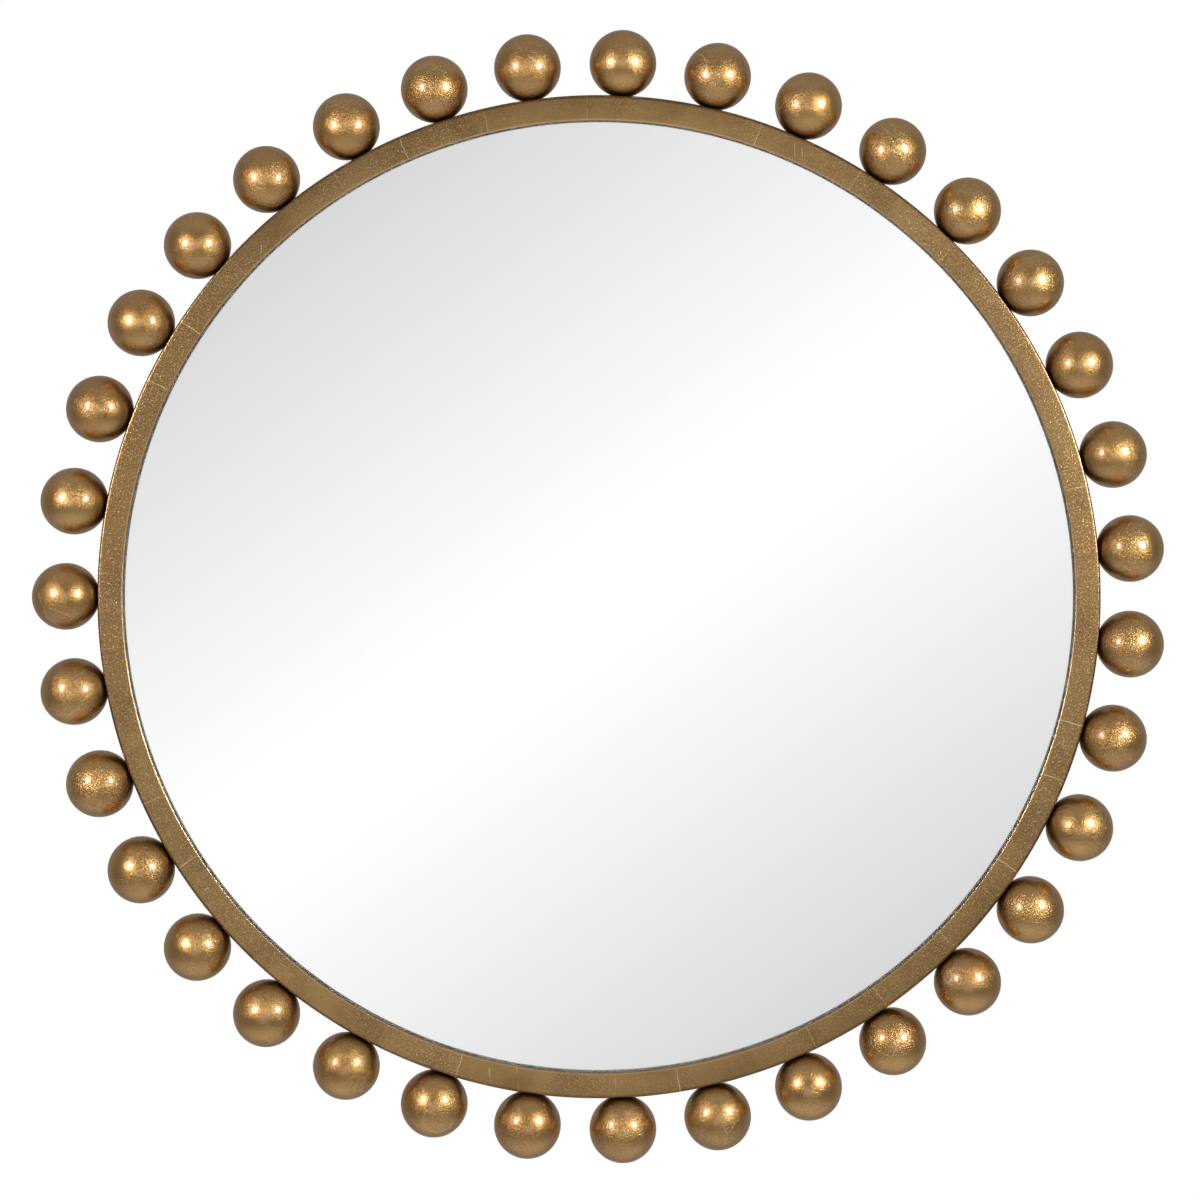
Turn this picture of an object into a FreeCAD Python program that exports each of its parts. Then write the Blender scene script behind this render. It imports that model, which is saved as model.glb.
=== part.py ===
"""Round wall mirror framed by an angle-section ring that carries a circle of gilded balls.

Millimetres. +X is to the right and +Z is up as someone faces the mirror, and +Y runs from
the mirror towards the wall. The origin is the centre of the ring, on the plane through the
middle of its depth, which is also the plane through the centres of all the balls.
Clock angles are in degrees, clockwise from the top as seen from the front.
"""
import FreeCAD
import Part
import math
import os

V = FreeCAD.Vector
CENTRE = V(0, 0, 0)
TO_WALL = V(0, 1, 0)
RIGHT = V(1, 0, 0)
UP = V(0, 0, 1)

# Driving dimensions: the circle of balls
overall_diameter = 1118.0
ball_count = 35
ball_diameter = 66.0
seat_depth = 0.2            # how much is taken off each ball to make its flat seat
first_ball_angle = 270.0    # one ball sits exactly at nine o'clock

# Driving dimensions: the ring, rolled from equal steel angle
ring_face = 25.0
ring_depth = 25.0
ring_gauge = 3.0
heel_round = 2.5
toe_round = 1.0
root_fillet = 2.5

# Driving dimensions: what the ring holds, from the front to the back
tape_thickness = 3.0
tape_width = 10.0
tape_inset = 2.0            # from the sight edge of the ring to the tape
glass_thickness = 4.0
glass_bevel = 0.6
board_thickness = 6.0
edge_clearance = 1.2        # between the rim of the glass and the heads of the ball screws
setting_block_length = 30.0
setting_block_angle = 20.0  # about how far each side of six o'clock

# Driving dimensions: brackets that keep the board in the ring
bracket_count = 7
bracket_width = 20.0
bracket_foot = 20.0
bracket_gauge = 2.0
bracket_bend = 1.0          # inside radius of the bend
bracket_setback = 0.5       # from the rear edge of the ring
bracket_corner = 3.0        # rounding of the foot's free corners
bracket_offset = 1.5        # gaps between balls, from the first ball to the first bracket

# Driving dimensions: the two flat bars across the back
rail_height = 40.0
rail_gauge = 3.0
rail_setback = 2.5          # from the rear edge of the ring
hanging_rail_drop = 92.0    # from the ring's inner wall, at the top, down to the hanging rail
lower_rail_rise = 86.0      # from the ring's inner wall, at the bottom, up to the lower rail
hinge_overhang = 2.0        # of the D-rings' hinge axis above the top edge of the hanging rail
hinge_spacing = 406.4       # between the two D-rings
bumper_spacing = 460.0

# Driving dimensions: D-rings and their folded straps
wire_diameter = 3.0
eye_length = 24.0           # from the hinge axis to the middle of the wire at the far end
strap_width = 14.0
strap_gauge = 1.2
strap_length = 36.0         # from the hinge axis to the end of the strap
strap_taper = 7.0           # length over which the strap closes below its loop
strap_end_round = 4.0
strap_hole_places = (11.0, 31.0)
wire_side_gap = 2.0         # between the sides of the strap and the legs of the D-ring
wire_bend = 3.0             # radius at the corners of the D-ring, on the middle of the wire

# Driving dimensions: rubber bumpers
bumper_diameter = 24.0
bumper_round = 1.5
bumper_bore_length = 10.0   # of rubber under the head of the bumper's screw
recess_diameter = 10.0
wall_gap = 1.5              # between the backs of the balls and the wall

# Driving dimensions: screws, as (shank diameter, head diameter, head height)
ball_screw = (4.2, 8.0, 2.8)
ball_screw_length = 25.0
bracket_screw = (3.5, 7.0, 2.2)
tip_cover = 1.5             # of board left in front of the tips of the bracket screws
machine_screw = (4.0, 7.0, 2.2)
screw_overshoot = 1.0       # how far a machine screw passes through the rail

# Clearances
hole_clearance = 0.3        # around a shank that passes freely
thread_clearance = 0.05     # around a shank that is driven into wood or a tapped hole
weld_gap = 0.3              # between a curved wall and what is welded or wedged against it
bracket_gap = 0.7           # between the curved wall and the corners of a bracket's flat leg
loop_clearance = 0.2        # around the wire in the loop of its strap
rest_gap = 0.3              # between a hanging D-ring and the strap it lies on

# Places that follow from the driving dimensions
ball_radius = ball_diameter / 2
ball_circle = overall_diameter / 2 - ball_radius
ball_step = 360.0 / ball_count
ring_outer = ball_circle - ball_radius + seat_depth
wall_inner = ring_outer - ring_gauge
sight_radius = ring_outer - ring_face
ring_front = -ring_depth / 2
ring_rear = ring_depth / 2
flange_rear = ring_front + ring_gauge
glass_front = flange_rear + tape_thickness
glass_rear = glass_front + glass_thickness
board_rear = glass_rear + board_thickness
glass_radius = wall_inner - ball_screw[2] - edge_clearance
rail_rear = ring_rear - rail_setback
rail_front = rail_rear - rail_gauge
wall_plane = ball_radius + wall_gap
strap_rear = rail_rear + 2 * strap_gauge
loop_bore = wire_diameter / 2 + loop_clearance
loop_radius = loop_bore + strap_gauge
hinge_y = rail_rear + loop_radius
hanging_rail_middle = wall_inner - hanging_rail_drop - rail_height / 2
hinge_height = wall_inner - hanging_rail_drop + hinge_overhang
bumper_drop = wall_inner - lower_rail_rise - rail_height / 2


def rounded_face(corners):
    """A flat face inside (point, radius) corners; a radius of 0 leaves a corner sharp."""
    bends = []
    for index, (corner, radius) in enumerate(corners):
        back = (corners[index - 1][0] - corner).normalize()
        ahead = (corners[(index + 1) % len(corners)][0] - corner).normalize()
        half_angle = back.getAngle(ahead) / 2
        reach = radius / math.tan(half_angle)
        inward = (back + ahead).normalize()
        arc_middle = corner + inward * (radius / math.sin(half_angle) - radius)
        bends.append((corner + back * reach, arc_middle, corner + ahead * reach, radius))
    edges = []
    for index, (start, middle, end, radius) in enumerate(bends):
        if radius:
            edges.append(Part.Arc(start, middle, end).toShape())
        edges.append(Part.LineSegment(end, bends[(index + 1) % len(bends)][0]).toShape())
    return Part.Face(Part.Wire(edges))


def turned(corners):
    """A solid of revolution about Y from (radius, y, corner radius) points."""
    outline = [(V(0, y, radius), rounding) for radius, y, rounding in corners]
    return rounded_face(outline).revolve(CENTRE, TO_WALL, 360)


def at_clock(shape, angle):
    """A copy of a shape that was made at twelve o'clock, moved round to a clock angle."""
    moved = shape.copy()
    moved.rotate(CENTRE, TO_WALL, angle)
    return moved


def save(name, *solids):
    shape = solids[0] if len(solids) == 1 else Part.makeCompound(list(solids))
    shape.exportStep(f"parts/{name}.step")


def hole(radius, start, direction, length):
    return Part.makeCylinder(radius, length, start, direction)


def screw(sizes, length, seat, direction):
    """A pan-head screw: its head stands on the seat and its shank runs along direction."""
    shank_diameter, head_diameter, head_height = sizes
    shank_radius = shank_diameter / 2
    head_radius = head_diameter / 2
    point = shank_radius * 0.6
    outline = [
        (V(0, 0, -head_height), 0),
        (V(head_radius, 0, -head_height), head_height * 0.6),
        (V(head_radius, 0, 0), 0),
        (V(shank_radius, 0, 0), 0),
        (V(shank_radius, 0, length - point), 0),
        (V(shank_radius - point, 0, length), 0),
        (V(0, 0, length), 0),
    ]
    body = rounded_face(outline).revolve(CENTRE, UP, 360)
    body.Placement = FreeCAD.Placement(seat, FreeCAD.Rotation(UP, direction))
    return body


# The ring and its balls

def ball_screw_seat():
    """Radius of the plane that a ball screw's flat head beds on, inside the curved wall."""
    return math.sqrt(wall_inner ** 2 - (ball_screw[1] / 2) ** 2)


def ring():
    """Steel angle rolled toe inwards: one leg is the face, the other the outer wall."""
    body = turned([
        (ring_outer, ring_front, heel_round),
        (sight_radius, ring_front, toe_round),
        (sight_radius, flange_rear, 0),
        (wall_inner, flange_rear, root_fillet),
        (wall_inner, ring_rear, toe_round),
        (ring_outer, ring_rear, 0),
    ])
    drill = hole(ball_screw[0] / 2 + hole_clearance, V(0, 0, sight_radius), UP, ring_face * 1.5)
    holes = [at_clock(drill, angle) for angle in ball_angles()]
    return body.cut(Part.makeCompound(holes))


def ball_angles():
    return [first_ball_angle + step * ball_step for step in range(ball_count)]


def ball():
    """A turned ball with a flat seat towards the ring and a pilot hole up its middle."""
    body = Part.makeSphere(ball_radius, V(0, 0, ball_circle))
    below_seat = Part.makeBox(ball_diameter, ball_diameter, ball_radius,
                              V(-ball_radius, -ball_radius, ring_outer - ball_radius))
    pilot_end = ball_screw_seat() + ball_screw_length + hole_clearance
    pilot = hole(ball_screw[0] / 2 + thread_clearance, V(0, 0, ring_outer), UP, pilot_end - ring_outer)
    return body.cut(below_seat).cut(pilot)


def screw_in_ball():
    return screw(ball_screw, ball_screw_length, V(0, 0, ball_screw_seat()), UP)


# The glass and what beds it

def tape():
    inner = sight_radius + tape_inset
    outer = inner + tape_width
    return turned([(inner, flange_rear, 0), (outer, flange_rear, 0),
                   (outer, glass_front, 0), (inner, glass_front, 0)])


def glass():
    body = hole(glass_radius, V(0, glass_front, 0), TO_WALL, glass_thickness)
    return body.makeChamfer(glass_bevel, [edge for edge in body.Edges if edge.Closed and edge.Length > 1
                                          and len(edge.Vertexes) == 1])


def setting_block():
    """A block that carries the rim of the glass, cut back where the ring has its fillet."""
    inner = glass_radius + weld_gap / 2
    outer = wall_inner - weld_gap / 2
    section = [(inner, glass_front), (outer - root_fillet, glass_front),
               (outer, glass_front + root_fillet), (outer, glass_rear), (inner, glass_rear)]
    face = rounded_face([(V(0, y, radius), 0) for radius, y in section])
    sweep = math.degrees(setting_block_length / glass_radius)
    block = face.revolve(CENTRE, TO_WALL, sweep)
    block.rotate(CENTRE, TO_WALL, -sweep / 2)
    return block


def setting_block_angles():
    """Middles of the gaps between ball screws, the nearest ones to the chosen angle."""
    first_gap = first_ball_angle + ball_step / 2
    chosen = [180 - setting_block_angle, 180 + setting_block_angle]
    return [first_gap + round((angle - first_gap) / ball_step) * ball_step for angle in chosen]


def board():
    body = hole(glass_radius, V(0, glass_rear, 0), TO_WALL, board_thickness)
    pilot_depth = board_thickness - tip_cover + hole_clearance
    pilot = hole(bracket_screw[0] / 2 + thread_clearance,
                 V(0, board_rear - pilot_depth, bracket_screw_radius()), TO_WALL, pilot_depth)
    pilots = [at_clock(pilot, angle) for angle in bracket_angles()]
    return body.cut(Part.makeCompound(pilots))


# The brackets behind the board

def bracket_angles():
    """Evenly spaced, each between two ball screws and clear of the ends of the rails."""
    start = first_ball_angle + bracket_offset * ball_step
    return [start + step * 360.0 / bracket_count for step in range(bracket_count)]


def bracket_seat():
    """Radius of the flat outside of a bracket's wall leg, which fits inside the curved wall."""
    return math.sqrt((wall_inner - bracket_gap) ** 2 - (bracket_width / 2) ** 2)


def bracket_screw_radius():
    return bracket_seat() - bracket_gauge - (bracket_foot - bracket_gauge) / 2


def bracket():
    """A bent strip: its foot lies on the board and its other leg is welded to the wall."""
    outside = bracket_seat()
    toe = outside - bracket_foot
    foot_rear = board_rear + bracket_gauge
    leg_end = ring_rear - bracket_setback
    inside = outside - bracket_gauge
    section = [
        (V(0, board_rear, toe), 0),
        (V(0, board_rear, outside), bracket_bend + bracket_gauge),
        (V(0, leg_end, outside), 0),
        (V(0, leg_end, inside), 0),
        (V(0, foot_rear, inside), bracket_bend),
        (V(0, foot_rear, toe), 0),
    ]
    body = rounded_face(section).extrude(RIGHT * bracket_width)
    body.translate(RIGHT * (-bracket_width / 2))
    free_corners = [edge for edge in body.Edges
                    if abs(edge.BoundBox.ZMax - toe) < 0.01 and edge.BoundBox.YLength > 0.1]
    body = body.makeFillet(bracket_corner, free_corners)
    drill = hole(bracket_screw[0] / 2 + hole_clearance, V(0, board_rear, bracket_screw_radius()),
                 TO_WALL, bracket_gauge)
    return body.cut(drill)


def screw_in_board():
    length = bracket_gauge + board_thickness - tip_cover
    seat = V(0, board_rear + bracket_gauge, bracket_screw_radius())
    return screw(bracket_screw, length, seat, -TO_WALL)


# The rails across the back

def rail(middle_height, tapped_places):
    """A flat bar welded across the ring, its ends cut to the curve of the wall."""
    bar = Part.makeBox(2 * wall_inner, rail_gauge, rail_height,
                       V(-wall_inner, rail_front, middle_height - rail_height / 2))
    body = bar.common(hole(wall_inner - weld_gap, V(0, rail_front, 0), TO_WALL, rail_gauge))
    for x, z in tapped_places:
        tapped = hole(machine_screw[0] / 2 + thread_clearance, V(x, rail_front, z), TO_WALL, rail_gauge)
        body = body.cut(tapped)
    return body


def strap_screw_places():
    return [(x, hinge_height - place) for x in hinge_places() for place in strap_hole_places]


def hinge_places():
    return [-hinge_spacing / 2, hinge_spacing / 2]


def bumper_places():
    return [-bumper_spacing / 2, bumper_spacing / 2]


# The hangers, made about a hinge axis at x = 0

def strap():
    """A strip folded double round the wire, pressed flat below its loop and screwed down."""
    low = hinge_height - strap_length
    taper_end = V(0, strap_rear, hinge_height - strap_taper)
    axis = V(0, hinge_y, hinge_height)
    to_axis = axis - taper_end
    tilt = math.asin(loop_radius / to_axis.Length)
    to_tangent = FreeCAD.Rotation(RIGHT, -math.degrees(tilt)).multVec(to_axis)
    tangent = taper_end + to_tangent * math.cos(tilt)
    section = [(V(0, rail_rear, low), 0), (V(0, strap_rear, low), 0), (taper_end, 0), (tangent, 0),
               (axis, 0), (V(0, rail_rear, hinge_height), 0)]
    web = rounded_face(section).extrude(RIGHT * strap_width)
    loop = hole(loop_radius, axis, RIGHT, strap_width)
    body = web.fuse(loop).removeSplitter()
    body.translate(RIGHT * (-strap_width / 2))
    end_corners = [edge for edge in body.Edges
                   if edge.BoundBox.ZMax < low + 0.01 and edge.BoundBox.YLength > 0.1]
    body = body.makeFillet(strap_end_round, end_corners)
    body = body.cut(hole(loop_bore, V(-strap_width, hinge_y, hinge_height), RIGHT, 2 * strap_width))
    for place in strap_hole_places:
        start = V(0, rail_rear, hinge_height - place)
        body = body.cut(hole(machine_screw[0] / 2 + hole_clearance, start, TO_WALL, 2 * strap_gauge))
    return body


def wire_straight(start, end):
    return hole(wire_diameter / 2, start, end - start, (end - start).Length)


def wire_bent(centre, start, sweep):
    """Wire that turns about Y through sweep degrees, beginning at start."""
    along = TO_WALL.cross(start - centre)
    circle = Part.Circle(start, along, wire_diameter / 2).toShape()
    return Part.Face(Part.Wire([circle])).revolve(centre, TO_WALL, sweep)


def d_ring():
    """A straight bar in the loop, two legs and a round end, hanging a little off the strap."""
    leg = strap_width / 2 + wire_side_gap + wire_diameter / 2
    bar = leg - wire_bend
    bend_low = hinge_height - wire_bend
    arc_height = hinge_height - eye_length + leg
    corner_right = V(bar, hinge_y, bend_low)
    corner_left = V(-bar, hinge_y, bend_low)
    arc_centre = V(0, hinge_y, arc_height)
    pieces = [
        wire_straight(V(-bar, hinge_y, hinge_height), V(bar, hinge_y, hinge_height)),
        wire_bent(corner_right, V(bar, hinge_y, hinge_height), 90),
        wire_straight(V(leg, hinge_y, bend_low), V(leg, hinge_y, arc_height)),
        wire_bent(arc_centre, V(leg, hinge_y, arc_height), 180),
        wire_straight(V(-leg, hinge_y, arc_height), V(-leg, hinge_y, bend_low)),
        wire_bent(corner_left, V(-leg, hinge_y, bend_low), 90),
    ]
    body = pieces[0].multiFuse(pieces[1:])
    lift = strap_rear + rest_gap + wire_diameter / 2 - hinge_y
    body.rotate(V(0, hinge_y, hinge_height), RIGHT, math.degrees(math.asin(lift / eye_length)))
    return body


def screws_in_rail(places, seat_y):
    length = seat_y - rail_front + screw_overshoot
    return [screw(machine_screw, length, V(x, seat_y, z), -TO_WALL) for x, z in places]


# The bumpers, made on the Y axis

def bumper():
    """A rubber stand-off between the rail and the wall, its screw head sunk in a recess."""
    bore = machine_screw[0] / 2 + hole_clearance
    recess = recess_diameter / 2
    recess_floor = rail_rear + bumper_bore_length
    return turned([
        (bore, rail_rear, 0),
        (bumper_diameter / 2, rail_rear, 0),
        (bumper_diameter / 2, wall_plane, bumper_round),
        (recess, wall_plane, 0),
        (recess, recess_floor, 0),
        (bore, recess_floor, 0),
    ])


os.makedirs("parts", exist_ok=True)

save("frame_ring", ring())
one_ball = ball()
for number, angle in enumerate(ball_angles(), start=1):
    save(f"ball_{number:02d}", at_clock(one_ball, angle))
save("ball_screws", *[at_clock(screw_in_ball(), angle) for angle in ball_angles()])

save("glass_tape", tape())
save("mirror_glass", glass())
save("setting_blocks", *[at_clock(setting_block(), angle) for angle in setting_block_angles()])
save("back_board", board())

one_bracket = bracket()
for number, angle in enumerate(bracket_angles(), start=1):
    save(f"retaining_bracket_{number}", at_clock(one_bracket, angle))
save("bracket_screws", *[at_clock(screw_in_board(), angle) for angle in bracket_angles()])

bumper_screw_places = [(x, -bumper_drop) for x in bumper_places()]
save("hanging_rail", rail(hanging_rail_middle, strap_screw_places()))
save("lower_rail", rail(-bumper_drop, bumper_screw_places))
save("strap_screws", *screws_in_rail(strap_screw_places(), strap_rear))
save("bumper_screws", *screws_in_rail(bumper_screw_places, rail_rear + bumper_bore_length))

for side, x, bumper_x in zip(("left", "right"), hinge_places(), bumper_places()):
    save(f"hanger_strap_{side}", strap().translated(RIGHT * x))
    save(f"d_ring_{side}", d_ring().translated(RIGHT * x))
    save(f"bumper_{side}", bumper().translated(V(bumper_x, 0, -bumper_drop)))
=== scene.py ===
"""The finishes of a round wall mirror with a ring of gilded balls, in metres."""

import math

import bmesh
import bpy
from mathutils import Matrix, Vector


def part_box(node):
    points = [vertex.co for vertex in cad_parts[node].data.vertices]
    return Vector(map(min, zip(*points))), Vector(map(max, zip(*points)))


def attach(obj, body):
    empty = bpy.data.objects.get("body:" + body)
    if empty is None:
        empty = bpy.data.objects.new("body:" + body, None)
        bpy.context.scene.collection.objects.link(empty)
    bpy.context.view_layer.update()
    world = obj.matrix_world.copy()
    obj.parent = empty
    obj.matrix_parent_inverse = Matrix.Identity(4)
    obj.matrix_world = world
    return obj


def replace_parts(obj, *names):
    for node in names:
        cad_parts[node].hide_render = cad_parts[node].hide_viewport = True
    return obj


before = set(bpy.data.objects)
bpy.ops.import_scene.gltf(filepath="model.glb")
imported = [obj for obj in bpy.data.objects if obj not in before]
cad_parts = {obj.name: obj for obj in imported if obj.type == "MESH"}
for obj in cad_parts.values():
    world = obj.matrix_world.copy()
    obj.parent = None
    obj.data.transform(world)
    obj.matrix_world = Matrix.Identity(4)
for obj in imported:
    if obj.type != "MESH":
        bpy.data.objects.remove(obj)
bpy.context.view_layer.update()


# ---- The ring ---------------------------------------------------------------------------
# Steel angle, 25 x 25 mm, rolled into a circle and welded. One leg is the flat face, which
# has leaf laid in squares on a red-brown size, under lacquer. The other is the outer wall,
# which is left in the size; its size brown is also painted shade where the balls sit on it.

RING_FACE = 0.025
RING_GAUGE = 0.003
RING_HEEL_ROUND = 0.0025
RING_TOE_ROUND = 0.001
RING_ROOT_FILLET = 0.0025
RING_CROWN = 0.00010          # how far the rolled face swells between its two edges
RING_STEPS = 720
CRISP = 0.00025               # reach of the two neighbours that hold a corner sharp
RING_LEAF_SCALE = 1.05        # of the leaf's grain against that on the balls
RING_SMOOTHNESS = 0.68        # share of the leaf's roughness that the flat face has
RING_COAT = 0.25
RING_RELIEF = 0.00017
LEAF_SQUARE = 0.080           # side of one leaf of metal
LAP_WIDTH = 0.007             # of the pale line where two leaves lap, as a share of a square
LAP_WANDER = 0.05             # of that line from straight, as a share of a square
LAP_WANDER_SCALE = 60.0
SQUARE_CONTRAST = 0.22        # of tone between one square and the next
SCRATCH_SLANT = 0.7
SCRATCH_STRETCH = 0.035
HANDLED_SCALE = 14.0          # of the places that are scratched
RING_PATCH_SCALE = 9.0        # of the places where the leaf lies rough
SIDE_ROUGHENING = 0.35        # how much rougher it lies at the left and right
SIGHT_EDGE_HIGHLIGHT = (0.0014, 0.0006)  # from the sight edge, across which a pale band is a painted highlight on the rounded toe
HEEL_WEAR_AND_SHADE = (0.0012, 0.0005)  # inside the outer wall, past which the colour is size brown: a rubbed heel, and painted shade where the balls sit
CLOUD_SCALE = 20.0
FLECK_SCALE = 620.0
PINHOLE_SCALE = 700.0
GRAIN_SCALE = 760.0
RIPPLE_SCALE = 130.0
CREASE_SCALE = 42.0
LEAF_SMOOTHEST = 0.28
LEAF_ROUGHEST = 0.35
BARE_ROUGHNESS = 0.2          # added where the leaf is gone
LACQUER_WEIGHT = 0.9
LACQUER_ROUGHNESS = 0.22
LACQUER_IOR = 1.70
LEAF_GOLD = (0.60, 0.345, 0.098, 1.0)
LEAF_DEEP = (0.42, 0.198, 0.045, 1.0)
RING_GOLD = (0.345, 0.208, 0.074, 1.0)
RING_DEEP = (0.200, 0.107, 0.033, 1.0)
# also the colour of painted glints on the leaf and of the painted highlight along the ring's sight edge
LEAF_PALE = (0.90, 0.68, 0.36, 1.0)
LEAF_EDGE = (0.78, 0.60, 0.46, 1.0)
# the red-brown size; also the colour of painted shade at the balls' seats and on the ring's outer wall
SIZE_AND_SHADE_BROWN = (0.050, 0.019, 0.007, 1.0)

ring_low, ring_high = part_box("frame_ring")
ring_outer = ring_high.x
ring_front = ring_low.y
ring_rear = ring_high.y
wall_inner = ring_outer - RING_GAUGE
sight_radius = ring_outer - RING_FACE
flange_rear = ring_front + RING_GAUGE


def add_node(tree, kind, feeds=None, **settings):
    """Adds a node, sets its settings, then gives its inputs values or links from sockets."""
    node = tree.nodes.new(kind)
    for name, value in settings.items():
        setattr(node, name, value)
    for name, value in (feeds or {}).items():
        if isinstance(value, bpy.types.NodeSocket):
            tree.links.new(value, node.inputs[name])
        else:
            node.inputs[name].default_value = value
    return node


def maths(tree, operation, *values, clamp=False):
    feeds = dict(enumerate(values))
    return add_node(tree, "ShaderNodeMath", feeds, operation=operation, use_clamp=clamp).outputs[0]


def between(tree, value, low, high, low_result=0.0, high_result=1.0):
    """Maps value from low..high to a smooth step between two results."""
    feeds = {"Value": value, "From Min": low, "From Max": high,
             "To Min": low_result, "To Max": high_result}
    return add_node(tree, "ShaderNodeMapRange", feeds, interpolation_type="SMOOTHSTEP").outputs[0]


def mixed(tree, factor, first, second):
    node = add_node(tree, "ShaderNodeMix", data_type="RGBA")
    sockets = (node.inputs["Factor"], node.inputs[6], node.inputs[7])
    for socket, value in zip(sockets, (factor, first, second)):
        if isinstance(value, bpy.types.NodeSocket):
            tree.links.new(value, socket)
        else:
            socket.default_value = value
    return node.outputs[2]


def noise(tree, place, scale, detail=2.0, distortion=0.0):
    feeds = {"Vector": place, "Scale": scale, "Detail": detail, "Distortion": distortion}
    return add_node(tree, "ShaderNodeTexNoise", feeds).outputs[0]


def new_material(name):
    material = bpy.data.materials.new(name)
    material.use_nodes = True
    tree = material.node_tree
    return material, tree, tree.nodes["Principled BSDF"]


def bump_into(tree, principled, height, distance):
    feeds = {"Height": height, "Distance": distance, "Strength": 1.0}
    bump = add_node(tree, "ShaderNodeBump", feeds)
    tree.links.new(bump.outputs["Normal"], principled.inputs["Normal"])


def edges(tree, place, scale):
    """How far each place is from the nearest edge between irregular cells."""
    feeds = {"Vector": place, "Scale": scale}
    return add_node(tree, "ShaderNodeTexVoronoi", feeds, feature="DISTANCE_TO_EDGE").outputs["Distance"]


def gold_leaf_group():
    """Leaf pressed over size: clouds and flecks of tone, painted glints, creases, grain, and size brown at
    rubbed places and as painted shade.
    """
    group = bpy.data.node_groups.new("gold leaf", "ShaderNodeTree")
    for name, kind in (("Place", "NodeSocketVector"), ("Gold", "NodeSocketColor"),
                       ("Deep", "NodeSocketColor"), ("Glint", "NodeSocketColor"),
                       ("Size", "NodeSocketColor"), ("Rub And Shade", "NodeSocketFloat"),
                       ("Crinkle", "NodeSocketFloat")):
        group.interface.new_socket(name, in_out="INPUT", socket_type=kind)
    for name, kind in (("Color", "NodeSocketColor"), ("Roughness", "NodeSocketFloat"),
                       ("Height", "NodeSocketFloat")):
        group.interface.new_socket(name, in_out="OUTPUT", socket_type=kind)
    given = group.nodes.new("NodeGroupInput").outputs
    place = given["Place"]
    clouds = noise(group, place, CLOUD_SCALE, 3.0, 0.5)
    flecks = noise(group, place, FLECK_SCALE, 2.0, 0.4)
    dark_flecks = maths(group, "MULTIPLY", between(group, flecks, 0.50, 0.34), given["Crinkle"])
    deep = maths(group, "ADD", between(group, clouds, 0.40, 0.72, 0.0, 0.5),
                 maths(group, "MULTIPLY", dark_flecks, 0.6), clamp=True)
    color = mixed(group, deep, given["Gold"], given["Deep"])
    # Painted glints: pale specks in the colour where the leaf is crinkled, standing in for its sparkle.
    glints = maths(group, "MULTIPLY", between(group, flecks, 0.57, 0.70, 0.0, 0.42), given["Crinkle"],
                   clamp=True)
    color = mixed(group, glints, color, given["Glint"])
    pinholes = between(group, noise(group, place, PINHOLE_SCALE), 0.70, 0.76, 0.0, 0.7)
    # size brown at pinholes and rubbed places, and as painted shade
    bared_and_shaded = maths(group, "MAXIMUM", pinholes, given["Rub And Shade"])
    color = mixed(group, bared_and_shaded, color, given["Size"])
    grain = noise(group, place, GRAIN_SCALE, 1.5, 0.4)
    ripple = noise(group, place, RIPPLE_SCALE, 3.0, 1.0)
    bent = maths(group, "MULTIPLY", ripple, 0.010)
    shift = add_node(group, "ShaderNodeCombineXYZ", {0: bent, 1: bent, 2: bent}).outputs[0]
    warped = add_node(group, "ShaderNodeVectorMath", {0: place, 1: shift}, operation="ADD").outputs[0]
    creases = between(group, edges(group, warped, CREASE_SCALE), 0.030, 0.0)
    height = maths(group, "ADD", maths(group, "MULTIPLY", grain, given["Crinkle"]),
                   maths(group, "MULTIPLY", ripple, 0.16))
    height = maths(group, "ADD", height, maths(group, "MULTIPLY", creases, 0.05))
    height = maths(group, "SUBTRACT", height, maths(group, "MULTIPLY", pinholes, 0.25))
    rough = between(group, clouds, 0.3, 0.7, LEAF_SMOOTHEST, LEAF_ROUGHEST)
    rough = maths(group, "ADD", rough, maths(group, "MULTIPLY", bared_and_shaded, BARE_ROUGHNESS))
    result = group.nodes.new("NodeGroupOutput").inputs
    for name, value in (("Color", color), ("Roughness", rough), ("Height", height)):
        group.links.new(value, result[name])
    return group


def leafed_material(name, place_of, relief):
    """A gilded and lacquered finish. place_of gives the leaf its place in the node tree."""
    material, tree, principled = new_material(name)
    leaf = add_node(tree, "ShaderNodeGroup", node_tree=bpy.data.node_groups["gold leaf"])
    tree.links.new(place_of(tree), leaf.inputs["Place"])
    leaf.inputs["Gold"].default_value = LEAF_GOLD
    leaf.inputs["Deep"].default_value = LEAF_DEEP
    leaf.inputs["Glint"].default_value = LEAF_PALE
    leaf.inputs["Size"].default_value = SIZE_AND_SHADE_BROWN
    leaf.inputs["Rub And Shade"].default_value = 0.0
    leaf.inputs["Crinkle"].default_value = 1.0
    principled.inputs["Metallic"].default_value = 1.0
    principled.inputs["Specular Tint"].default_value = LEAF_EDGE
    principled.inputs["Coat Weight"].default_value = LACQUER_WEIGHT
    principled.inputs["Coat Roughness"].default_value = LACQUER_ROUGHNESS
    principled.inputs["Coat IOR"].default_value = LACQUER_IOR
    tree.links.new(leaf.outputs["Roughness"], principled.inputs["Roughness"])
    bump_into(tree, principled, leaf.outputs["Height"], relief)
    return material, tree, principled, leaf


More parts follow.
